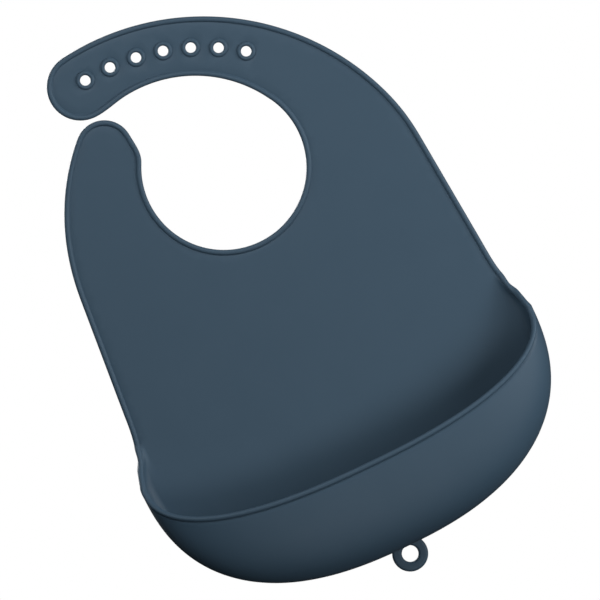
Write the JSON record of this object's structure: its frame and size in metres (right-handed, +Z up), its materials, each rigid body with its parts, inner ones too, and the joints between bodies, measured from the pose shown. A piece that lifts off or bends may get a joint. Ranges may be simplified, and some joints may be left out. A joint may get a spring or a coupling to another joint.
{
  "type": "silicone bib",
  "caption": "Soft silicone feeding bib with a wide crumb pocket, an adjustable wrap-round neck strap with button holes, and a loop for hanging it up.",
  "frame": {"origin": "on the flat back face, on the centre line of the lower panel, 108.8 mm below the centre of the neck opening", "axes": "+Z up towards the neck as the bib hangs, +Y out of the back face towards the wearer, so the front and the pocket face -Y; +X to the left of the wearer's view, the viewer's right"},
  "size_m": [0.229, 0.0502, 0.3269],
  "materials": {
    "silicone": "matt slate-blue silicone"
  },
  "bodies": {
    "panel": {"chest_panel": "silicone"},
    "fold_1": {"lower_fold_strip": "silicone"},
    "fold_2": {"upper_fold_strip": "silicone"},
    "yoke": {"neck_yoke": "silicone"},
    "strap_1": {"strap_root": "silicone"},
    "strap_2": {"strap_lower": "silicone"},
    "strap_3": {"strap_middle": "silicone"},
    "strap_4": {"strap_upper": "silicone"},
    "strap_5": {"strap_tip": "silicone"},
    "tab_1": {"tab_root": "silicone", "button_stud_2": "silicone"},
    "tab_2": {"tab_tip": "silicone", "button_stud_1": "silicone"},
    "pocket": {"pocket_shell": "silicone", "pocket_lip": "silicone"},
    "loop": {"hanging_loop": "silicone"}
  },
  "joints": [
    {"name": "panel_fold", "type": "hinge", "parent": "panel", "child": "fold_1", "pos_m": [0, -0.0012, 0.01], "axis": [1, 0, 0], "range_deg": [-20, 45], "stiffness_Nm_per_rad": 0.02},
    {"name": "panel_fold_middle", "type": "hinge", "parent": "fold_1", "child": "fold_2", "pos_m": [0, -0.0012, 0.03], "axis": [1, 0, 0], "range_deg": [-20, 45], "stiffness_Nm_per_rad": 0.02},
    {"name": "panel_fold_upper", "type": "hinge", "parent": "fold_2", "child": "yoke", "pos_m": [0, -0.0012, 0.05], "axis": [1, 0, 0], "range_deg": [-20, 45], "stiffness_Nm_per_rad": 0.02},
    {"name": "strap_curl", "type": "hinge", "parent": "yoke", "child": "strap_1", "pos_m": [-0.0012, -0.0012, 0.1088], "axis": [0.9781, 0, 0.2079], "range_deg": [-26, 10], "stiffness_Nm_per_rad": 0.004},
    {"name": "strap_curl_2", "type": "hinge", "parent": "strap_1", "child": "strap_2", "pos_m": [-0.0012, -0.0012, 0.1088], "axis": [0.809, 0, 0.5878], "range_deg": [-26, 10], "stiffness_Nm_per_rad": 0.004},
    {"name": "strap_curl_3", "type": "hinge", "parent": "strap_2", "child": "strap_3", "pos_m": [-0.0012, -0.0012, 0.1088], "axis": [0.4939, 0, 0.8695], "range_deg": [-26, 10], "stiffness_Nm_per_rad": 0.004},
    {"name": "strap_curl_4", "type": "hinge", "parent": "strap_3", "child": "strap_4", "pos_m": [-0.0012, -0.0012, 0.1088], "axis": [0.0698, 0, 0.9976], "range_deg": [-26, 10], "stiffness_Nm_per_rad": 0.004},
    {"name": "strap_curl_5", "type": "hinge", "parent": "strap_4", "child": "strap_5", "pos_m": [-0.0012, -0.0012, 0.1088], "axis": [-0.3123, 0, 0.95], "range_deg": [-26, 10], "stiffness_Nm_per_rad": 0.004},
    {"name": "tab_curl", "type": "hinge", "parent": "yoke", "child": "tab_1", "pos_m": [-0.0012, -0.0012, 0.1088], "axis": [0.9848, 0, -0.1736], "range_deg": [-25, 15], "stiffness_Nm_per_rad": 0.004},
    {"name": "tab_curl_2", "type": "hinge", "parent": "tab_1", "child": "tab_2", "pos_m": [-0.0012, -0.0012, 0.1088], "axis": [0.8862, 0, -0.4633], "range_deg": [-25, 15], "stiffness_Nm_per_rad": 0.004},
    {"name": "pocket_flex", "type": "hinge", "parent": "panel", "child": "pocket", "pos_m": [0, -0.003, -0.11], "axis": [1, 0, 0], "range_deg": [-20, 20], "stiffness_Nm_per_rad": 0.02},
    {"name": "loop_flex", "type": "hinge", "parent": "pocket", "child": "loop", "pos_m": [0, -0.003, -0.112], "axis": [1, 0, 0], "range_deg": [-45, 80], "stiffness_Nm_per_rad": 0.001}
  ],
  "couplings": [
    {"joint": "panel_fold_middle", "follows": "panel_fold", "ratio": 1},
    {"joint": "panel_fold_upper", "follows": "panel_fold", "ratio": 1},
    {"joint": "strap_curl_2", "follows": "strap_curl", "ratio": 1},
    {"joint": "strap_curl_3", "follows": "strap_curl", "ratio": 1},
    {"joint": "strap_curl_4", "follows": "strap_curl", "ratio": 1},
    {"joint": "strap_curl_5", "follows": "strap_curl", "ratio": 1},
    {"joint": "tab_curl_2", "follows": "tab_curl", "ratio": 1}
  ]
}
